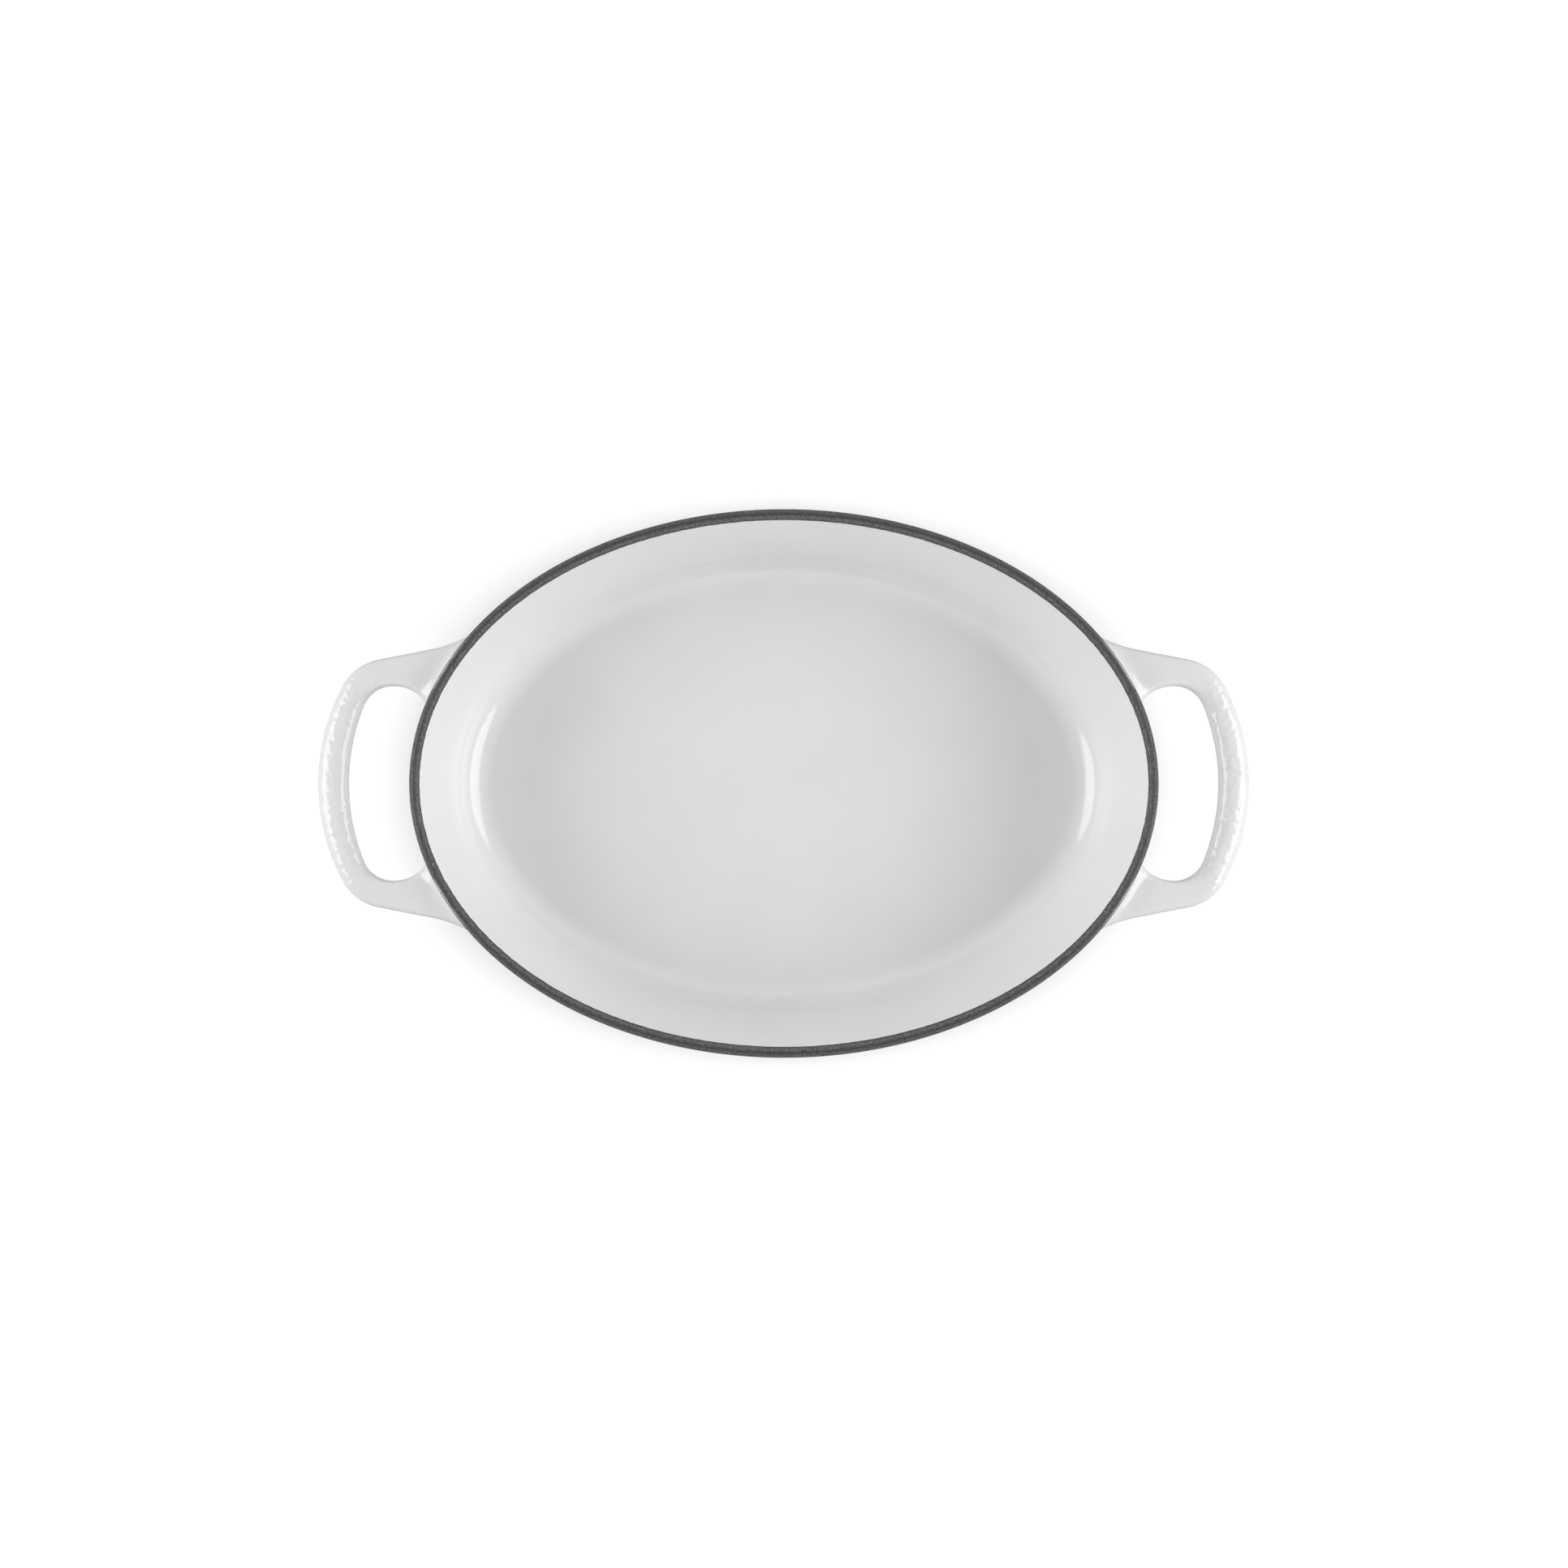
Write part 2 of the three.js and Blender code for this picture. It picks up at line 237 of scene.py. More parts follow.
def oval(u, inset, pan):
    """The rim's ellipse (a cos u, b sin u), moved in by inset along its normal (b cos u, a sin u)."""
    a, b = pan.rim_length / 2, pan.rim_width / 2
    normal = np.stack([b * np.cos(u), a * np.sin(u)], -1)
    normal /= np.linalg.norm(normal, axis=-1, keepdims=True)
    return np.stack([a * np.cos(u), b * np.sin(u)], -1) - np.asarray(inset)[..., None] * normal


def nearest_on_rim(plan, pan):
    """Inset of plan points from the rim's ellipse, and the outward normal where each is nearest to it.

    The nearest angle u solves (a^2 - b^2) sin u cos u - a x sin u + b y cos u = 0, by Newton's steps.
    """
    a, b = pan.rim_length / 2, pan.rim_width / 2
    x, y = plan[..., 0], plan[..., 1]
    u = np.arctan2(y * a, x * b)
    for _ in range(NEWTON_STEPS):
        s, c = np.sin(u), np.cos(u)
        slope = (a * a - b * b) * (c * c - s * s) - a * x * c - b * y * s
        u = u - ((a * a - b * b) * s * c - a * x * s + b * y * c) / slope
    rim, inside = oval(u, np.zeros_like(u), pan), oval(u, np.ones_like(u), pan)
    normal = rim - inside
    return ((rim - plan) * normal).sum(-1), normal


def round_oval():
    """Angles of the points round the oval, in even steps from 0."""
    return np.linspace(0, 2 * math.pi, ROUND, endpoint=False)


def carried(inset, z, pan, share=1.0):
    """A profile of insets and heights carried round the oval, with a row for each profile point.

    A row with a share below 1 is drawn in towards the pan's middle, which fills a flat.
    """
    rows = max(len(np.atleast_1d(x)) for x in (inset, z, share))
    plan = oval(round_oval(), np.broadcast_to(inset, (rows, ROUND)), pan)
    plan = plan * np.broadcast_to(share, (rows, 1))[..., None]
    return np.concatenate([plan, np.broadcast_to(z, (rows, ROUND))[..., None]], -1)


def inner_wall(z, depth, pan):
    """Inset of the wall's inside at height z and a depth under its face.

    It is a line that leans by the inner flare and touches the rim's rounding.
    """
    nose = pan.rim_thickness / 2
    fall = (z - pan.height + nose) * math.sin(pan.inner_flare)
    return nose + (nose - depth - fall) / math.cos(pan.inner_flare)


def outer_wall(z, depth, pan):
    """Inset of the wall's outside at height z and a depth under its face.

    It is a line that leans by the outer flare and touches the rim's rounding.
    """
    nose = pan.rim_thickness / 2
    fall = (z - pan.height + nose) * math.sin(pan.outer_flare)
    return nose - (nose - depth + fall) / math.cos(pan.outer_flare)


def rim_span(pan):
    """Path length of the rim's rounding, from the outer wall to the inner wall."""
    return pan.rim_thickness / 2 * (math.pi + pan.outer_flare - pan.inner_flare)


def over_rim(s, depth, pan):
    """Inset and height at path length s: up the outer wall, over the rim and down the inner wall.

    The angle falls from the outer wall's lean to the inner wall's while s goes from 0 to the length of
    the rim's half-round. The point is the rounding's centre plus (radius - depth) (cos angle, sin angle),
    and what is left of s runs on along the tangent (sin angle, -cos angle).
    """
    radius = pan.rim_thickness / 2
    turned = np.clip(s, 0, rim_span(pan))
    a = math.pi + pan.outer_flare - turned / radius
    inset = radius + (radius - depth) * np.cos(a) + (s - turned) * np.sin(a)
    return inset, pan.height - radius + (radius - depth) * np.sin(a) - (s - turned) * np.cos(a)


def corner(centre, height, radius, lean, rows):
    """Inset and height of an arc about (centre, height), from straight down to the wall's lean."""
    a = np.linspace(math.pi / 2, lean, rows)[:, None]
    return centre - radius * np.cos(a), height - radius * np.sin(a)


def wander(seed, pan):
    """Uneven line round the oval: a sum of sines with whole numbers of waves, so that it closes."""
    rng = np.random.default_rng(seed)
    waves = rng.integers(*EDGE_COUNTS, EDGE_WAVES)
    phase = rng.uniform(0, 2 * math.pi, EDGE_WAVES)
    height = rng.uniform(*EDGE_HEIGHTS, EDGE_WAVES)
    line = (height * np.sin(np.outer(round_oval(), waves) + phase)).sum(-1)
    return pan.wander * line / line.std()


def inner_edge(pan):
    """Path length where the dark band meets the lining.

    The lining's lap over the rim goes from the sides' to the ends' with the square of the angle's cosine.
    """
    lap = pan.side_lap + (pan.end_lap - pan.side_lap) * np.cos(round_oval()) ** 2
    return rim_span(pan) - lap + wander(INNER_EDGE_SEED, pan)


def outer_edge(pan):
    """Path length where the dark band ends on the outer wall, below the rim's half-round by the skirt."""
    return wander(OUTER_EDGE_SEED, pan) - pan.skirt


def lining_profile(depth, rows, pan):
    """Grid from the floor's middle out to its edge, up the corner and up the wall to the dark band."""
    lean, radius = pan.inner_flare, pan.floor_radius
    height = pan.floor_top + radius
    centre = inner_wall(height, -radius, pan)
    share = np.linspace(0, 1, FLAT_ROWS)[1:-1, None]
    floor = carried(centre, pan.floor_top - depth, pan, share)
    bend = carried(*corner(centre, height, radius + depth, lean, rows), pan)
    nose = pan.rim_thickness / 2
    drop = pan.height - nose - height + (nose + radius) * math.sin(lean)
    start = rim_span(pan) + drop / math.cos(lean)
    up = np.linspace(0, 1, rows)[1:, None]
    wall = carried(*over_rim(start + (inner_edge(pan) + pan.joint - start) * up, depth, pan), pan)
    return np.concatenate([floor, bend, wall])


def outside_profile(depth, rows, pan):
    """Grid from the dark band down the outer wall and round the corner to the foot."""
    lean, radius = pan.outer_flare, pan.base_radius
    height = pan.foot_height + radius
    centre = outer_wall(height, radius, pan)
    nose = pan.rim_thickness / 2
    drop = pan.height - nose - height + (radius - nose) * math.sin(lean)
    end = -drop / math.cos(lean)
    down = np.linspace(0, 1, rows)[:-1, None]
    start = outer_edge(pan) - pan.joint
    wall = carried(*over_rim(start + (end - start) * down, depth, pan), pan)
    bend = carried(*corner(centre, height, radius - depth, lean, rows), pan)
    return np.concatenate([wall, bend[::-1]])


def band_profile(depth, rows, pan):
    """Grid over the rim from the band's outer edge to its inner edge."""
    across = np.linspace(0, 1, rows)[:, None]
    start = outer_edge(pan)
    return carried(*over_rim(start + (inner_edge(pan) - start) * across, depth, pan), pan)


def underside_profile(depth, rows, pan):
    """Grid under the base from the outer wall's end to the middle, with a raised foot ring.

    The height falls along half a cosine wave, stays at the table over the ring's flat, and rises again.
    """
    radius = pan.base_radius
    edge = outer_wall(pan.foot_height + radius, radius, pan) + pan.joint
    ramp = (1 + np.cos(np.linspace(0, math.pi, rows)[:, None])) / 2
    step = np.linspace(0, pan.foot_ramp, rows)[:, None]
    ring = edge + pan.foot_ramp + pan.foot_width
    inset = np.concatenate([edge + step, ring + step])
    ring_rows = carried(inset, depth + pan.foot_height * np.concatenate([ramp, ramp[::-1]]), pan)
    share = np.linspace(1, 0, FLAT_ROWS)[1:-1, None]
    middle = carried(ring + pan.foot_ramp, depth + pan.foot_height, pan, share)
    return np.concatenate([ring_rows, middle])


def path_point(points, share):
    """Points of a polyline at shares of its length."""
    far = np.concatenate([[0], np.cumsum(np.linalg.norm(np.diff(points, axis=0), axis=1))])
    return np.stack([np.interp(share * far[-1], far, points[:, i]) for i in (0, 1)], -1)


def arc(centre, radius, first, last, share):
    """Points of a circle at shares of the way from its first angle to its last."""
    a = first + (last - first) * share
    return centre + radius * np.stack([np.cos(a), np.sin(a)], -1)


# Stations along half a handle: from the wall along the arm, where they start close together, round the
# corner, and along the grip to its middle
ARM = np.linspace(0, 1, 70) ** 1.4
BEND = np.linspace(0, 1, 40)[1:]
GRIP = np.linspace(0, 1, 60)[1:]


def loop_edge(through, taper, face, radius, fillet, side, pan, handle):
    """One edge of a handle's plan from the wall to the middle of the grip.

    Also gives the oval's angle where the edge leaves the wall, and the point where its arm ends.
    A cubic eases out of the wall, with both control points halfway to the place where arm and wall
    would meet. A line runs along the arm, an arc turns the corner and the grip's own wide arc runs to
    the middle. The corner's centre lies on the arm's line moved in by its radius, at the grip's radius
    less its own from the grip's centre.
    """
    along = np.array([math.cos(taper), -math.sin(taper)])
    across = np.array([-math.sin(taper), -math.cos(taper)])
    bow = np.array([face - handle.grip_bow, 0])
    start = through + radius * across - bow
    lead = start @ along
    run = math.sqrt(lead**2 - start @ start + (handle.grip_bow - radius) ** 2) - lead
    centre = start + run * along + bow
    turn = math.atan2(*(centre - bow)[::-1])
    arm_end = centre - radius * across

    inset = outer_wall(handle.middle, handle.root_depth, pan)
    u = np.linspace(0, math.pi / 2, SEARCH_POINTS)
    beside = (oval(u, np.full_like(u, inset), pan) - through) @ across
    meet = np.interp(0, beside[::-1], u[::-1])
    hinge = oval(meet, inset, pan)
    spread = fillet or np.linalg.norm(hinge - arm_end)
    pace = math.hypot(pan.rim_length / 2 * math.sin(meet), pan.rim_width / 2 * math.cos(meet))
    at_wall = meet + side * spread / pace
    root, leave = oval(at_wall, inset, pan), hinge + spread * along
    t = np.linspace(0, 1, EASE_POINTS)[:, None]
    near, far = (root + hinge) / 2, (leave + hinge) / 2
    ease = (1 - t) ** 3 * root + 3 * (1 - t) ** 2 * t * near + 3 * (1 - t) * t**2 * far + t**3 * leave
    arm = path_point(np.concatenate([ease, arm_end[None]]), ARM)
    bend = arc(centre, radius, math.pi / 2 - taper, turn, BEND)
    grip = arc(bow, handle.grip_bow, turn, 0, GRIP)
    return np.concatenate([arm, bend, grip]), at_wall, arm_end


def section_angle():
    """Angles of the points round a section, in even steps from 0."""
    return np.linspace(0, 2 * math.pi, SECTION, endpoint=False)


def squared(v, power):
    """The size of v to a power, with the sign of v."""
    return np.sign(v) * np.abs(v) ** power


def handle_grid(shrink, pan, handle):
    """Half a loop as a grid of stations by section points, drawn in by shrink.

    Also gives how far each station belongs to the grip, from 0 to 1.
    A section is a squared ellipse between the plan's two edges: width by |cos|^p and height by |sin|^p
    with their signs, where p is 2 over the squareness. At the wall the sections bend to the oval, and
    their height grows into it along a quarter of an oval. Ends that are too deep in the wall are moved
    out to the bite.
    """
    face = pan.rim_length / 2 + handle.reach
    slot_side = np.array([pan.rim_length / 2, handle.slot_length / 2])
    slot, slot_u, slot_end = loop_edge(
        slot_side, 0, face - handle.grip_width, handle.slot_corner, None, -1, pan, handle
    )
    outer_side = np.array([slot_end[0], handle.slot_length / 2 + handle.arm_width])
    outer, outer_u, _ = loop_edge(
        outer_side, handle.arm_taper, face, handle.loop_corner, handle.root_fillet, 1, pan, handle
    )
    rooted = np.concatenate([(1 - ARM) ** 2, 0 * BEND, 0 * GRIP])[:, None]
    gripped = np.concatenate([0 * ARM, BEND, 0 * GRIP + 1])[:, None]
    width = np.linalg.norm(outer - slot, axis=-1)[:, None]
    depth = handle.arm_depth + (handle.grip_depth - handle.arm_depth) * gripped
    power = 2 / (ARM_SQUARENESS + (GRIP_SQUARENESS - ARM_SQUARENESS) * gripped)
    a = section_angle()
    share = (0.5 + squared(np.cos(a), power) * (0.5 - shrink / width))[..., None]
    lift = squared(np.sin(a), power)

    inset = outer_wall(handle.middle, handle.root_depth, pan)
    wall = oval(outer_u + (slot_u - outer_u) * share[..., 0], np.full(share.shape[:2], inset), pan)
    chord = outer[0] + (slot[0] - outer[0]) * share
    plan = outer[:, None] + (slot - outer)[:, None] * share + (wall - chord) * rooted[..., None]

    z = handle.middle + lift * (depth / 2 - shrink)
    inset, normal = nearest_on_rim(plan, pan)
    out = outer_wall(z, 0, pan) - inset
    near = 1 - np.clip(out / handle.fillet_reach, 0, 1)
    climb = handle.wall_fillet * (1 - np.sqrt(1 - near**2))
    z = z + climb * np.where(lift > 0, lift, handle.under_fillet * lift)
    out = outer_wall(z, 0, pan) - inset
    plan = plan + np.maximum(-handle.bite - out, 0)[..., None] * normal
    return np.concatenate([plan, z[..., None]], -1), gripped


def whole_loop(half):
    """Half a loop joined to its mirror image across the pan's long axis."""
    mirror = half[-2::-1] * np.array([1, -1, 1])
    return np.concatenate([half, mirror])


def ripples(points, size, seed):
    """Sum of plane sine waves in chance directions, with lengths about size, scaled to a spread of 1."""
    rng = np.random.default_rng(seed)
    way = rng.normal(size=(RIPPLES, 3))
    way /= np.linalg.norm(way, axis=-1, keepdims=True)
    waves = way * (2 * math.pi / (size * rng.uniform(*RIPPLE_LENGTHS, RIPPLES)))[:, None]
    phase = rng.uniform(0, 2 * math.pi, RIPPLES)
    return np.sin(points @ waves.T + phase).sum(-1) / math.sqrt(RIPPLES / 2)


def outward(grid):
    """Unit normals of a grid whose columns close: the cross product of its steps along and round."""
    along = np.gradient(grid, axis=0)
    round_ = np.roll(grid, -1, 1) - np.roll(grid, 1, 1)
    normal = np.cross(round_, along)
    return normal / np.linalg.norm(normal, axis=-1, keepdims=True)


def handle_shell(turn, seed, pan, handle):
    """Rows of a coated loop: the rippled outside from end to end and the smooth inside back again.

    The outside is raised along its normals by the ripple height times 1 plus the waves. The ripples grow
    along the corners and fade to the loop's sides with the square of the section angle's sine.
    """
    half, gripped = handle_grid(0, pan, handle)
    outside = whole_loop(half)
    amount = np.concatenate([gripped, gripped[-2::-1]]) * np.sin(section_angle()) ** 2
    height = handle.ripple * amount * (1 + ripples(outside, handle.ripple_size, seed))
    outside = outside + outward(outside) * height[..., None]
    inside = whole_loop(handle_grid(pan.coat, pan, handle)[0])[::BACK_STEP]
    return np.concatenate([outside, inside[::-1]]) * np.array([turn, turn, 1])


def shell_mesh(name, grid, flip, poles=()):
    """Mesh of quads between neighbouring rows of a grid whose columns close.

    Without poles the last row joins the first. With two poles the end rows close on these single points.
    """
    rows, columns = grid.shape[:2]
    index = np.arange(rows * columns).reshape(rows, columns)
    lower = index[:-1] if poles else index
    upper = index[1:] if poles else np.roll(index, -1, 0)
    quads = np.stack([lower, np.roll(lower, -1, 1), np.roll(upper, -1, 1), upper], -1).reshape(-1, 4)
    points = grid.reshape(-1, 3)
    corners, sizes = [quads], [np.full(len(quads), 4)]
    if poles:
        tip = np.full(columns, rows * columns)
        first = np.stack([tip, np.roll(index[0], -1), index[0]], -1)
        last = np.stack([tip + 1, index[-1], np.roll(index[-1], -1)], -1)
        points = np.concatenate([points, poles])
        corners += [first, last]
        sizes.append(np.full(2 * columns, 3))
    if flip:
        corners = [c[:, ::-1] for c in corners]
    corners = np.concatenate([c.ravel() for c in corners])
    sizes = np.concatenate(sizes)
    mesh = bpy.data.meshes.new(name)
    mesh.vertices.add(len(points))
    mesh.vertices.foreach_set("co", points.astype(np.float32).ravel())
    mesh.loops.add(len(corners))
    mesh.loops.foreach_set("vertex_index", corners.astype(np.int32))
    mesh.polygons.add(len(sizes))
    starts = np.concatenate([[0], np.cumsum(sizes)[:-1]])
    mesh.polygons.foreach_set("loop_start", starts.astype(np.int32))
    mesh.update(calc_edges=True)
    mesh.shade_smooth()
    mesh.set_sharp_from_angle(angle=SHARP_ANGLE)
    if mesh.validate():
        raise RuntimeError(f"the mesh of {name} has bad faces")
    return mesh


def put(name, mesh, material):
    """Puts a coat in the scene, on the pan's body and with its material slot."""
    piece = bpy.data.objects.new(name, mesh)
    bpy.context.scene.collection.objects.link(piece)
    mesh.materials.append(material)
    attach(piece, "root")
    return piece


def node(tree, kind, inputs=(), **settings):
    """A node with its settings and inputs. An input given as a socket is linked, and others are set."""
    made = tree.nodes.new(kind)
    for name, value in settings.items():
        setattr(made, name, value)
    for name, value in dict(inputs).items():
        if isinstance(value, bpy.types.NodeSocket):
            tree.links.new(value, made.inputs[name])
        else:
            made.inputs[name].default_value = value
    return made


def blank_material(name, roughness, specular=0.5):
    """Material with only a principled shader, and the object's own coordinates to draw on."""
    material = bpy.data.materials.new(name)
    material.use_nodes = True
    tree = material.node_tree
    shader = tree.nodes["Principled BSDF"]
    shader.inputs["Roughness"].default_value = roughness
    shader.inputs["Specular IOR Level"].default_value = specular
    return material, tree, shader, node(tree, "ShaderNodeTexCoord").outputs["Object"]


def noise(tree, where, size, detail, low, high):
    """Noise with features of a given size, whose usual span from 0.3 to 0.7 is mapped to low and high."""
    grain = node(tree, "ShaderNodeTexNoise", {"Vector": where, "Scale": 1 / size, "Detail": detail})
    return node(
        tree,
        "ShaderNodeMapRange",
        {"Value": grain.outputs["Fac"], "From Min": 0.3, "From Max": 0.7, "To Min": low, "To Max": high},
    ).outputs["Result"]


def tinted(tree, shade, colour_):
    """A colour made lighter or darker by a shade about 1."""
    return node(
        tree,
        "ShaderNodeVectorMath",
        {0: (*colour_,), "Scale": shade},
        operation="SCALE",
    ).outputs[0]


def bumped(tree, shader, height, depth):
    """Fine relief on a shader, with a height of 1 as high as depth."""
    bump = node(tree, "ShaderNodeBump", {"Height": height, "Distance": depth, "Strength": 1.0})
    tree.links.new(bump.outputs["Normal"], shader.inputs["Normal"])


def gloss_enamel(name, colour_, specular, roughness, peel):
    """Fired gloss enamel: slow mottling of tint and gloss, and the faint orange peel of a fused coat."""
    material, tree, shader, where = blank_material(name, roughness, specular)
    shade = noise(tree, where, size=0.03, detail=4, low=0.985, high=1.015)
    tree.links.new(tinted(tree, shade, colour_), shader.inputs["Base Color"])
    gloss = noise(tree, where, size=0.012, detail=2, low=0.7 * roughness, high=1.3 * roughness)
    tree.links.new(gloss, shader.inputs["Roughness"])
    bumped(tree, shader, noise(tree, where, size=0.004, detail=2, low=0, high=1), depth=peel)
    return material


def matte_enamel(name, colour_):
    """Matte ground enamel: a fine, gritty grain, and stripes of painted light and shade across the band.

    The stripes are a ramp of greys over the band's own attribute, which runs across it. They paint a dark
    reflection near the crest and lighter, reflecting shoulders, and darken towards the inner edge.
    """
    material, tree, shader, where = blank_material(name, roughness=0.5)
    across = node(tree, "ShaderNodeAttribute", attribute_name="across").outputs["Fac"]
    # Painted light and shade: the ramp darkens the band near its crest and lightens its shoulders
    ramp = node(tree, "ShaderNodeValToRGB", {"Fac": across})
    stops = ramp.color_ramp.elements
    for position, _ in PAINTED_LIGHT_STRIPES[1:-1]:
        stops.new(position)
    for stop, (position, grey) in zip(stops, PAINTED_LIGHT_STRIPES):
        stop.position, stop.color = position, (grey, grey, grey, 1)
    grain = noise(tree, where, size=0.0008, detail=3, low=0.8, high=5.2)
    both = {0: ramp.outputs["Color"], 1: grain}
    # The painted stripes times the band's real grain
    shade = node(tree, "ShaderNodeMath", both, operation="MULTIPLY").outputs[0]
    tree.links.new(tinted(tree, shade, colour_), shader.inputs["Base Color"])
    gloss = noise(tree, where, size=0.0012, detail=2, low=0.4, high=0.6)
    tree.links.new(gloss, shader.inputs["Roughness"])
    bumped(tree, shader, noise(tree, where, size=0.0007, detail=3, low=0, high=1), depth=0.00012)
    return material


def cast_iron(name, colour_):
    """Sand-cast iron: dark metal with a coarse grain."""
    material, tree, shader, where = blank_material(name, roughness=0.7)
    shader.inputs["Metallic"].default_value = 0.8
    shade = noise(tree, where, size=0.003, detail=4, low=0.7, high=1.3)
    tree.links.new(tinted(tree, shade, colour_), shader.inputs["Base Color"])
    gloss = noise(tree, where, size=0.002, detail=2, low=0.6, high=0.8)
    tree.links.new(gloss, shader.inputs["Roughness"])
    bumped(tree, shader, noise(tree, where, size=0.0015, detail=4, low=0, high=1), depth=0.0002)
    return material


def shared(name, make, *values):
    """The material of that name, made once."""
    return bpy.data.materials.get(name) or make(name, *values)


def white_enamel(colours):
    """The white gloss enamel of the outside and the handles."""
    return shared("white gloss enamel", gloss_enamel, colours.white, *WHITE_GLOSS)


class PAN_OT_lining(bpy.types.Operator):
    """Pale gloss enamel over the floor and the inner wall"""

    bl_idname = "pan.lining"
    bl_label = "Lining"

    def execute(self, context):
        pan = context.scene.pan_sizes
        front, back = lining_profile(0, LINING_ROWS, pan), lining_profile(pan.coat, BACK_ROWS, pan)
        poles = [[0, 0, pan.floor_top], [0, 0, pan.floor_top - pan.coat]]
        mesh = shell_mesh("lining", np.concatenate([front, back[::-1]]), False, poles)
        tint = context.scene.pan_colours.lining
        material = shared("pale gloss enamel", gloss_enamel, tint, *LINING_GLOSS)
        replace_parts(put("lining", mesh, material), "interior_enamel")
        return {"FINISHED"}


class PAN_OT_band(bpy.types.Operator):
    """Dark matte enamel over the rim"""

    bl_idname = "pan.band"
    bl_label = "Rim band"

    def execute(self, context):
        pan = context.scene.pan_sizes
        front, back = band_profile(0, BAND_ROWS, pan), band_profile(pan.coat, BACK_ROWS, pan)
        mesh = shell_mesh("rim_band", np.concatenate([front, back[::-1]]), True)
        across = np.concatenate([np.linspace(0, 1, len(front)), np.linspace(1, 0, len(back))])
        marks = mesh.attributes.new("across", "FLOAT", "POINT")
        marks.data.foreach_set("value", np.repeat(across, ROUND).astype(np.float32))
        material = shared("dark matte enamel", matte_enamel, context.scene.pan_colours.dark)
        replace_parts(put("rim_band", mesh, material), "rim_enamel")
        return {"FINISHED"}


class PAN_OT_outside(bpy.types.Operator):
    """White gloss enamel on the outer wall and under the base"""

    bl_idname = "pan.outside"
    bl_label = "Outside"

    def execute(self, context):
        pan = context.scene.pan_sizes
        material = white_enamel(context.scene.pan_colours)
        front, back = outside_profile(0, OUTSIDE_ROWS, pan), outside_profile(pan.coat, BACK_ROWS, pan)
        mesh = shell_mesh("outer_wall", np.concatenate([front, back[::-1]]), True)
        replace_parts(put("outer_wall", mesh, material), "exterior_enamel")
        front = underside_profile(0, FOOT_ROWS, pan)
        back = underside_profile(pan.coat, FOOT_BACK_ROWS, pan)
        poles = [[0, 0, pan.foot_height + pan.coat], [0, 0, pan.foot_height]]
        mesh = shell_mesh("underside", np.concatenate([back[::-1], front]), False, poles)
        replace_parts(put("underside", mesh, material), "base_enamel")
        return {"FINISHED"}


class PAN_OT_handles(bpy.types.Operator):
    """White gloss enamel round both loop handles"""

    bl_idname = "pan.handles"
    bl_label = "Handles"

    def execute(self, context):
        pan, handle = context.scene.pan_sizes, context.scene.pan_handles
        material = white_enamel(context.scene.pan_colours)
        for side, turn, seed in HANDLES:
            name = side + "_handle"
            mesh = shell_mesh(name, handle_shell(turn, seed, pan, handle), False)
            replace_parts(put(name, mesh, material), side + "_handle_enamel")
        return {"FINISHED"}


class PAN_OT_casting(bpy.types.Operator):
    """Cast-iron finish on the casting under the enamel"""

    bl_idname = "pan.casting"
    bl_label = "Casting"

    def execute(self, context):
        casting = frame["nodes"]["iron_casting"]
        casting.data.materials.clear()
        casting.data.materials.append(shared("cast iron", cast_iron, context.scene.pan_colours.iron))
        return {"FINISHED"}


def seen_directly(tree):
    """1 for rays from the camera, from gloss and through glass, and 0 for light on matt surfaces."""
    path = node(tree, "ShaderNodeLightPath").outputs
    seen = path["Is Camera Ray"]
    for name in ("Is Glossy Ray", "Is Transmission Ray"):
        seen = node(tree, "ShaderNodeMath", {0: seen, 1: path[name]}, operation="MAXIMUM").outputs[0]
    return seen


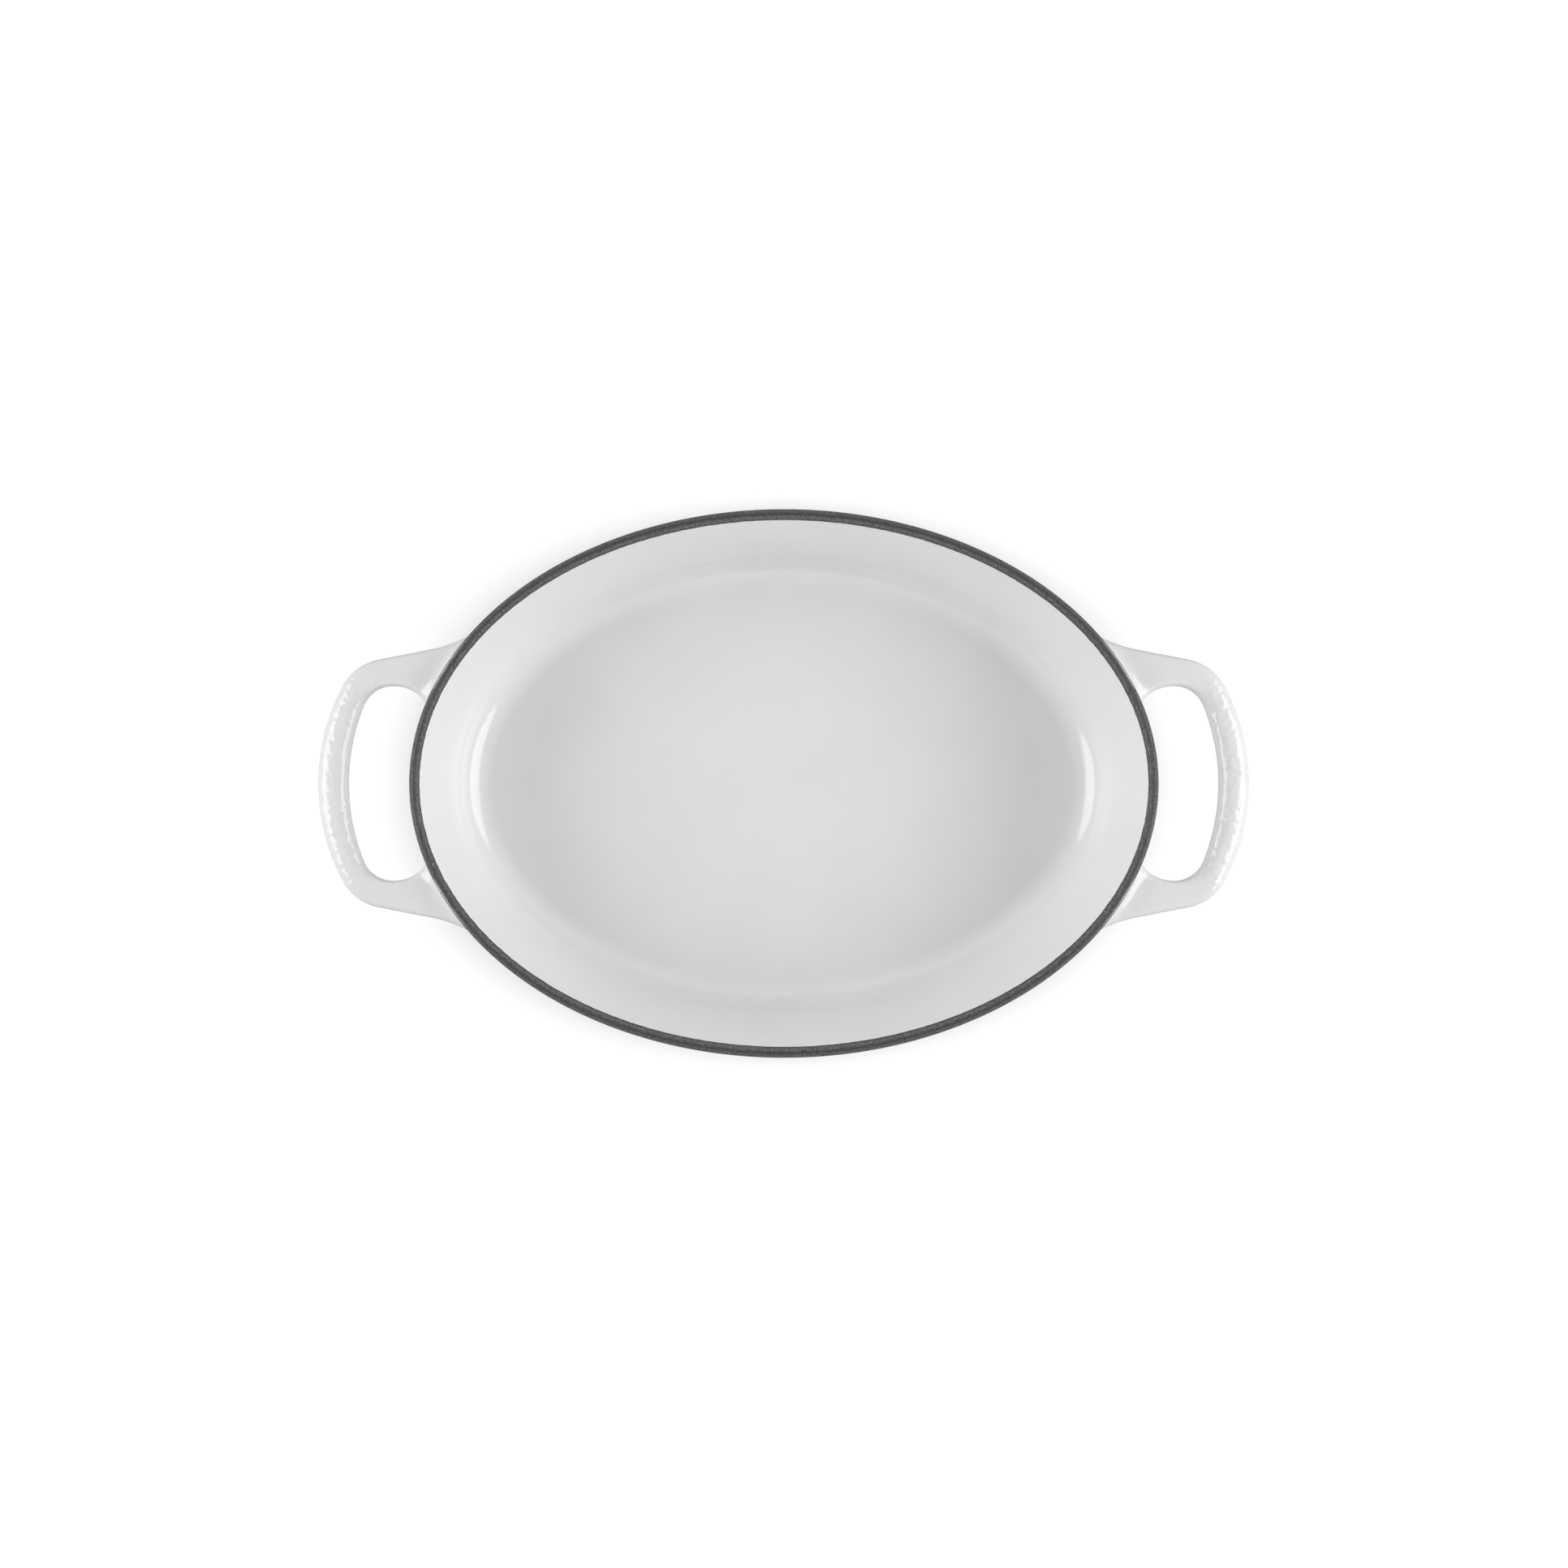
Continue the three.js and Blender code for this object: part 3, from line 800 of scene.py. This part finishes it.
def white_floor(pan, studio):
    """Pale floor that takes shadows, with a white glow on top that only the camera sees.

    The distance from the rim is the length of (x / a, y / b) less 1, times the mean of a and b. Over the
    shade's reach the glow falls off towards the rim with the square of the way that is left, which paints a
    soft shadow beside the rim. Far from the pan it grows to 1, which keeps the floor white as far as the
    horizon.
    """
    material = bpy.data.materials.new("white floor")
    material.use_nodes = True
    tree = material.node_tree
    tree.nodes.clear()
    white = node(tree, "ShaderNodeBsdfDiffuse", {"Color": (FLOOR_GREY, FLOOR_GREY, FLOOR_GREY, 1)})
    where = node(tree, "ShaderNodeTexCoord").outputs["Object"]
    a, b = pan.rim_length / 2, pan.rim_width / 2
    spot = node(tree, "ShaderNodeVectorMath", {0: where, 1: (a, b, 1)}, operation="DIVIDE").outputs[0]
    far = node(tree, "ShaderNodeVectorMath", {0: spot}, operation="LENGTH").outputs["Value"]
    # Painted shadow beside the rim: the camera-only glow falls off over this reach
    reach = 1 + 2 * studio.painted_shade_reach / (a + b)
    left = node(tree, "ShaderNodeMapRange", {"Value": far, "From Min": reach, "From Max": 1}).outputs[0]
    square = node(tree, "ShaderNodeMath", {0: left, 1: left}, operation="MULTIPLY").outputs[0]
    fall = {0: square, 1: -studio.painted_floor_shade, 2: studio.floor_glow}
    glow = node(tree, "ShaderNodeMath", fall, operation="MULTIPLY_ADD", use_clamp=True).outputs[0]
    spread = node(tree, "ShaderNodeVectorMath", {0: where}, operation="LENGTH").outputs["Value"]
    start, full = FAR_FLOOR
    ramp = {"Value": spread, "From Min": start, "From Max": full}
    away = node(tree, "ShaderNodeMapRange", ramp).outputs[0]
    glow = node(tree, "ShaderNodeMath", {0: glow, 1: away}, operation="MAXIMUM").outputs[0]
    seen = node(tree, "ShaderNodeLightPath").outputs["Is Camera Ray"]
    scaled = node(tree, "ShaderNodeMath", {0: seen, 1: glow}, operation="MULTIPLY")
    shine = node(tree, "ShaderNodeEmission", {"Strength": scaled.outputs[0]})
    both = node(tree, "ShaderNodeAddShader", {0: white.outputs[0], 1: shine.outputs[0]})
    node(tree, "ShaderNodeOutputMaterial", {"Surface": both.outputs[0]})
    return material


def panel_lamp(name, where, way, size, brightness):
    """Flat oval lamp that shines along way.

    Its power is brightness times pi times its area, which makes a lamp of brightness 1 look white.
    """
    lamp = bpy.data.lights.new(name, "AREA")
    lamp.shape = "ELLIPSE"
    lamp.size, lamp.size_y = size
    lamp.energy = brightness * math.pi * (math.pi / 4 * lamp.size * lamp.size_y)
    panel = bpy.data.objects.new(name, lamp)
    panel.location = where
    panel.rotation_euler = Vector(way).to_track_quat("-Z", "Y").to_euler()
    bpy.context.scene.collection.objects.link(panel)
    return panel


class PAN_OT_studio(bpy.types.Operator):
    """White floor, light from all round, an oval soft box on each side and a camera overhead"""

    bl_idname = "pan.studio"
    bl_label = "Studio"

    def execute(self, context):
        scene, studio = context.scene, context.scene.pan_studio
        scene.view_settings.view_transform = "Standard"

        ground = bpy.data.meshes.new("floor")
        signs = ((-1, -1), (1, -1), (1, 1), (-1, 1))
        ground.from_pydata([(x * FLOOR_HALF, y * FLOOR_HALF, 0) for x, y in signs], [], [(0, 1, 2, 3)])
        ground.materials.append(white_floor(scene.pan_sizes, studio))
        floor = bpy.data.objects.new("floor", ground)
        scene.collection.objects.link(floor)

        # The room's strength is a base plus the ends' part times the square of the way across the pan,
        # once as light on matt surfaces and once as gloss and the camera show it
        scene.world = bpy.data.worlds.new("room")
        scene.world.use_nodes = True
        tree = scene.world.node_tree
        tree.nodes.clear()
        way = node(tree, "ShaderNodeTexCoord").outputs["Generated"]
        across = node(tree, "ShaderNodeSeparateXYZ", {0: way}).outputs["Y"]
        square = node(tree, "ShaderNodeMath", {0: across, 1: across}, operation="MULTIPLY").outputs[0]
        room, shown = (
            node(
                tree, "ShaderNodeMath", {0: square, 1: ends, 2: base}, operation="MULTIPLY_ADD"
            ).outputs[0]
            for ends, base in ((studio.ambient_ends, studio.ambient), (studio.sheen_ends, studio.sheen))
        )
        strength = node(
            tree, "ShaderNodeMapRange", {"Value": seen_directly(tree), "To Min": room, "To Max": shown}
        )
        light = node(tree, "ShaderNodeBackground", {"Color": ROOM_TINT, "Strength": strength.outputs[0]})
        node(tree, "ShaderNodeOutputWorld", {"Surface": light.outputs[0]})

        for side, turn in (("left", -1), ("right", 1)):
            middle = studio.box_base + studio.box_height / 2
            where = (turn * studio.box_distance, getattr(studio, side + "_place"), middle)
            size = (getattr(studio, side + "_width"), studio.box_height)
            brightness = getattr(studio, side + "_light")
            lamp = panel_lamp(side + " soft box", where, (-turn, 0, 0), size, brightness)
            lamp.data.color = studio.warmth

        lens = bpy.data.cameras.new("camera")
        lens.sensor_width = SENSOR_WIDTH
        lens.lens = lens.sensor_width * studio.camera_distance / studio.view_width
        lens.shift_x = -studio.view_along / studio.view_width
        camera = bpy.data.objects.new("camera", lens)
        height = scene.pan_sizes.height + studio.camera_distance
        camera.location = (studio.view_along, studio.view_across, height)
        scene.collection.objects.link(camera)
        scene.camera = camera
        return {"FINISHED"}


GROUPS = {
    "pan_sizes": PanSizes,
    "pan_handles": HandleSizes,
    "pan_colours": PanColours,
    "pan_studio": StudioSettings,
}
OPERATORS = (PAN_OT_lining, PAN_OT_band, PAN_OT_outside, PAN_OT_handles, PAN_OT_casting, PAN_OT_studio)


class VIEW3D_PT_pan(bpy.types.Panel):
    """Sizes, colours and pieces of the pan"""

    bl_label = "Roasting pan"
    bl_space_type = "VIEW_3D"
    bl_region_type = "UI"
    bl_category = "Pan"

    def draw(self, context):
        for operator in OPERATORS:
            self.layout.operator(operator.bl_idname)
        for name, group in GROUPS.items():
            box = self.layout.box()
            for key in group.__annotations__:
                box.prop(getattr(context.scene, name), key)


def register():
    for cls in (*GROUPS.values(), *OPERATORS, VIEW3D_PT_pan):
        bpy.utils.register_class(cls)
    for name, group in GROUPS.items():
        setattr(bpy.types.Scene, name, PointerProperty(type=group))


def unregister():
    for name in GROUPS:
        delattr(bpy.types.Scene, name)
    for cls in reversed((*GROUPS.values(), *OPERATORS, VIEW3D_PT_pan)):
        bpy.utils.unregister_class(cls)


def main():
    register()
    bpy.ops.pan.lining()
    bpy.ops.pan.band()
    bpy.ops.pan.outside()
    bpy.ops.pan.handles()
    bpy.ops.pan.casting()
    bpy.ops.pan.studio()


if __name__ == "__main__":
    main()
